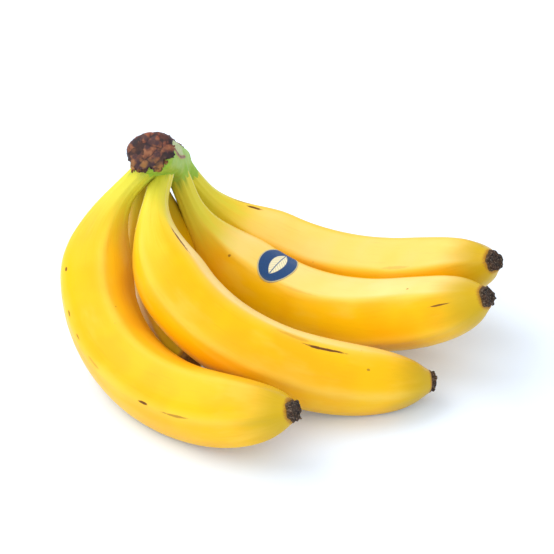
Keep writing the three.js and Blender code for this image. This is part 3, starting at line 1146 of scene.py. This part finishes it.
def label_rings():
    """Points of the label on the peel, and each one's place in the print."""
    line = lines[LABEL_FINGER]
    skin = BVHTree.FromObject(peels[LABEL_FINGER], bpy.context.evaluated_depsgraph_get())
    centre, turn, half_length, half_width, radius = label_frame()
    print("label:", round(2 * half_length / MM, 1), "by", round(2 * half_width / MM, 1), "mm")
    points = []
    prints = []
    for ring in range(LABEL_RINGS + 1):
        share = ring / LABEL_RINGS
        for k in range(LABEL_ROUND):
            way = 2 * math.pi * k / LABEL_ROUND
            x, y = share * math.cos(way), share * math.sin(way)
            along = centre + x * half_length
            at = along / line.length * (line.rings - 1)
            low = int(at)
            start = line.points[low] + (at - low) * (line.points[low + 1] - line.points[low])
            inner = unit(line.inner[low] + (at - low) * (line.inner[low + 1] - line.inner[low]))
            angle = turn + y * half_width / radius
            heading = Vector(inner * math.cos(angle) + line.side * math.sin(angle))
            place, _, _, _ = skin.ray_cast(Vector(start), heading)
            lift = LABEL_LIFT * (1.0 if share < 0.96 else 0.45)
            points.append(place + heading * lift)
            prints.append((x, y, share))
    return points, prints


def label_faces():
    """Quads between the label's rings, and a fan of triangles in the middle."""
    faces = []
    for ring in range(1, LABEL_RINGS):
        for k in range(LABEL_ROUND):
            after = (k + 1) % LABEL_ROUND
            low = ring * LABEL_ROUND
            faces.append((low + k, low + LABEL_ROUND + k, low + LABEL_ROUND + after, low + after))
    for k in range(LABEL_ROUND):
        faces.append((0, LABEL_ROUND + k, LABEL_ROUND + (k + 1) % LABEL_ROUND))
    return faces


label_points, label_prints = label_rings()
label = make_piece("label", label_points, label_faces(), label_finish(), ["sticker"])
carry(label, "print", "FLOAT_VECTOR", label_prints)
film = label.modifiers.new("film", "SOLIDIFY")
film.thickness = 0.09 * MM
film.offset = -1

# %% [markdown]
# ## Floor, light and camera
# The bunch lies on a plain white floor that runs out of sight. One large soft lamp hangs above it
# on the left, which lights the tops of the fingers and leaves a soft shadow on the right; a white
# surrounding fills the shadows. Peel throws yellow light on paper, so the paper is a cool white,
# with a faint glow, and its shadows come out grey. The view transform is the plain one, so that
# the white floor stays white and the yellow stays saturated.

# %% Floor
FLOOR_HALF = 2.0
CURVE_START = 1.2
CURVE_RADIUS = 0.8
FLAT_STEPS = 8
CURVE_STEPS = 16


def make_floor():
    """A flat sheet that sweeps up at the back, like studio paper."""
    mesh = bpy.data.meshes.new("studio_paper")
    shape = bmesh.new()
    rows = []
    for step in range(FLAT_STEPS + CURVE_STEPS + 1):
        turn = max(0, step - FLAT_STEPS) / CURVE_STEPS * math.pi / 2
        flat = min(step, FLAT_STEPS) / FLAT_STEPS * (FLOOR_HALF + CURVE_START)
        y = -FLOOR_HALF + flat + CURVE_RADIUS * math.sin(turn)
        z = CURVE_RADIUS * (1 - math.cos(turn))
        rows.append([shape.verts.new((x, y, z)) for x in (-FLOOR_HALF, FLOOR_HALF)])
    for low, high in zip(rows, rows[1:]):
        shape.faces.new((low[0], low[1], high[1], high[0]))
    for face in shape.faces:
        face.smooth = True
    shape.to_mesh(mesh)
    shape.free()
    floor = bpy.data.objects.new("studio_paper", mesh)
    bpy.context.scene.collection.objects.link(floor)
    paper = Finish("studio_paper", {"Roughness": 0.9, "Emission Strength": 1.0})
    where = paper.node("ShaderNodeTexCoord", output="Object")
    cloud = paper.noise(where, 6.0, 2.0)
    paper.feed("Base Color", paper.mix(cloud, (0.83, 0.91, 0.98), (0.85, 0.93, 1.0)))
    paper.feed("Emission Color", paper.mix(cloud, (0.03, 0.06, 0.135), (0.03, 0.062, 0.14)))
    mesh.materials.append(paper.material)
    print("floor is", 2 * FLOOR_HALF, "m wide")


make_floor()


# %% Lamps and surroundings
def soft_lamp(name, place, size, power, target=(0, 0, 0.05)):
    light = bpy.data.lights.new(name, "AREA")
    light.shape = "RECTANGLE"
    light.size = size[0]
    light.size_y = size[1]
    light.energy = power
    lamp = bpy.data.objects.new(name, light)
    lamp.location = place
    lamp.rotation_euler = (Vector(target) - Vector(place)).to_track_quat("-Z", "Y").to_euler()
    bpy.context.scene.collection.objects.link(lamp)
    return lamp


soft_lamp("top_lamp", (-0.75, 0.15, 1.05), (1.1, 1.0), 8.5)
soft_lamp("front_lamp", (-0.5, -1.0, 1.0), (0.8, 0.8), 3)

world = bpy.data.worlds.new("white_room")
world.use_nodes = True
world.node_tree.nodes["Background"].inputs["Color"].default_value = (1, 1, 1, 1)
world.node_tree.nodes["Background"].inputs["Strength"].default_value = 0.92
bpy.context.scene.world = world
bpy.context.scene.view_settings.view_transform = "Standard"
bpy.context.scene.view_settings.look = "None"

# %% Camera
CAMERA_RISE = math.radians(33.4)
CAMERA_DISTANCE = 0.961
LENS = 131.3

camera_data = bpy.data.cameras.new("camera")
camera_data.lens = LENS
camera_data.sensor_width = 36
camera_data.dof.use_dof = False
camera = bpy.data.objects.new("camera", camera_data)
middle = (cad_box[0] + cad_box[1]) / 2
aim = middle + Vector((-0.0025, 0, -0.0042))
back = Vector((0, -math.cos(CAMERA_RISE), math.sin(CAMERA_RISE)))
camera.location = aim + back * CAMERA_DISTANCE
camera.rotation_euler = (-back).to_track_quat("-Z", "Y").to_euler()
bpy.context.scene.collection.objects.link(camera)
bpy.context.scene.camera = camera
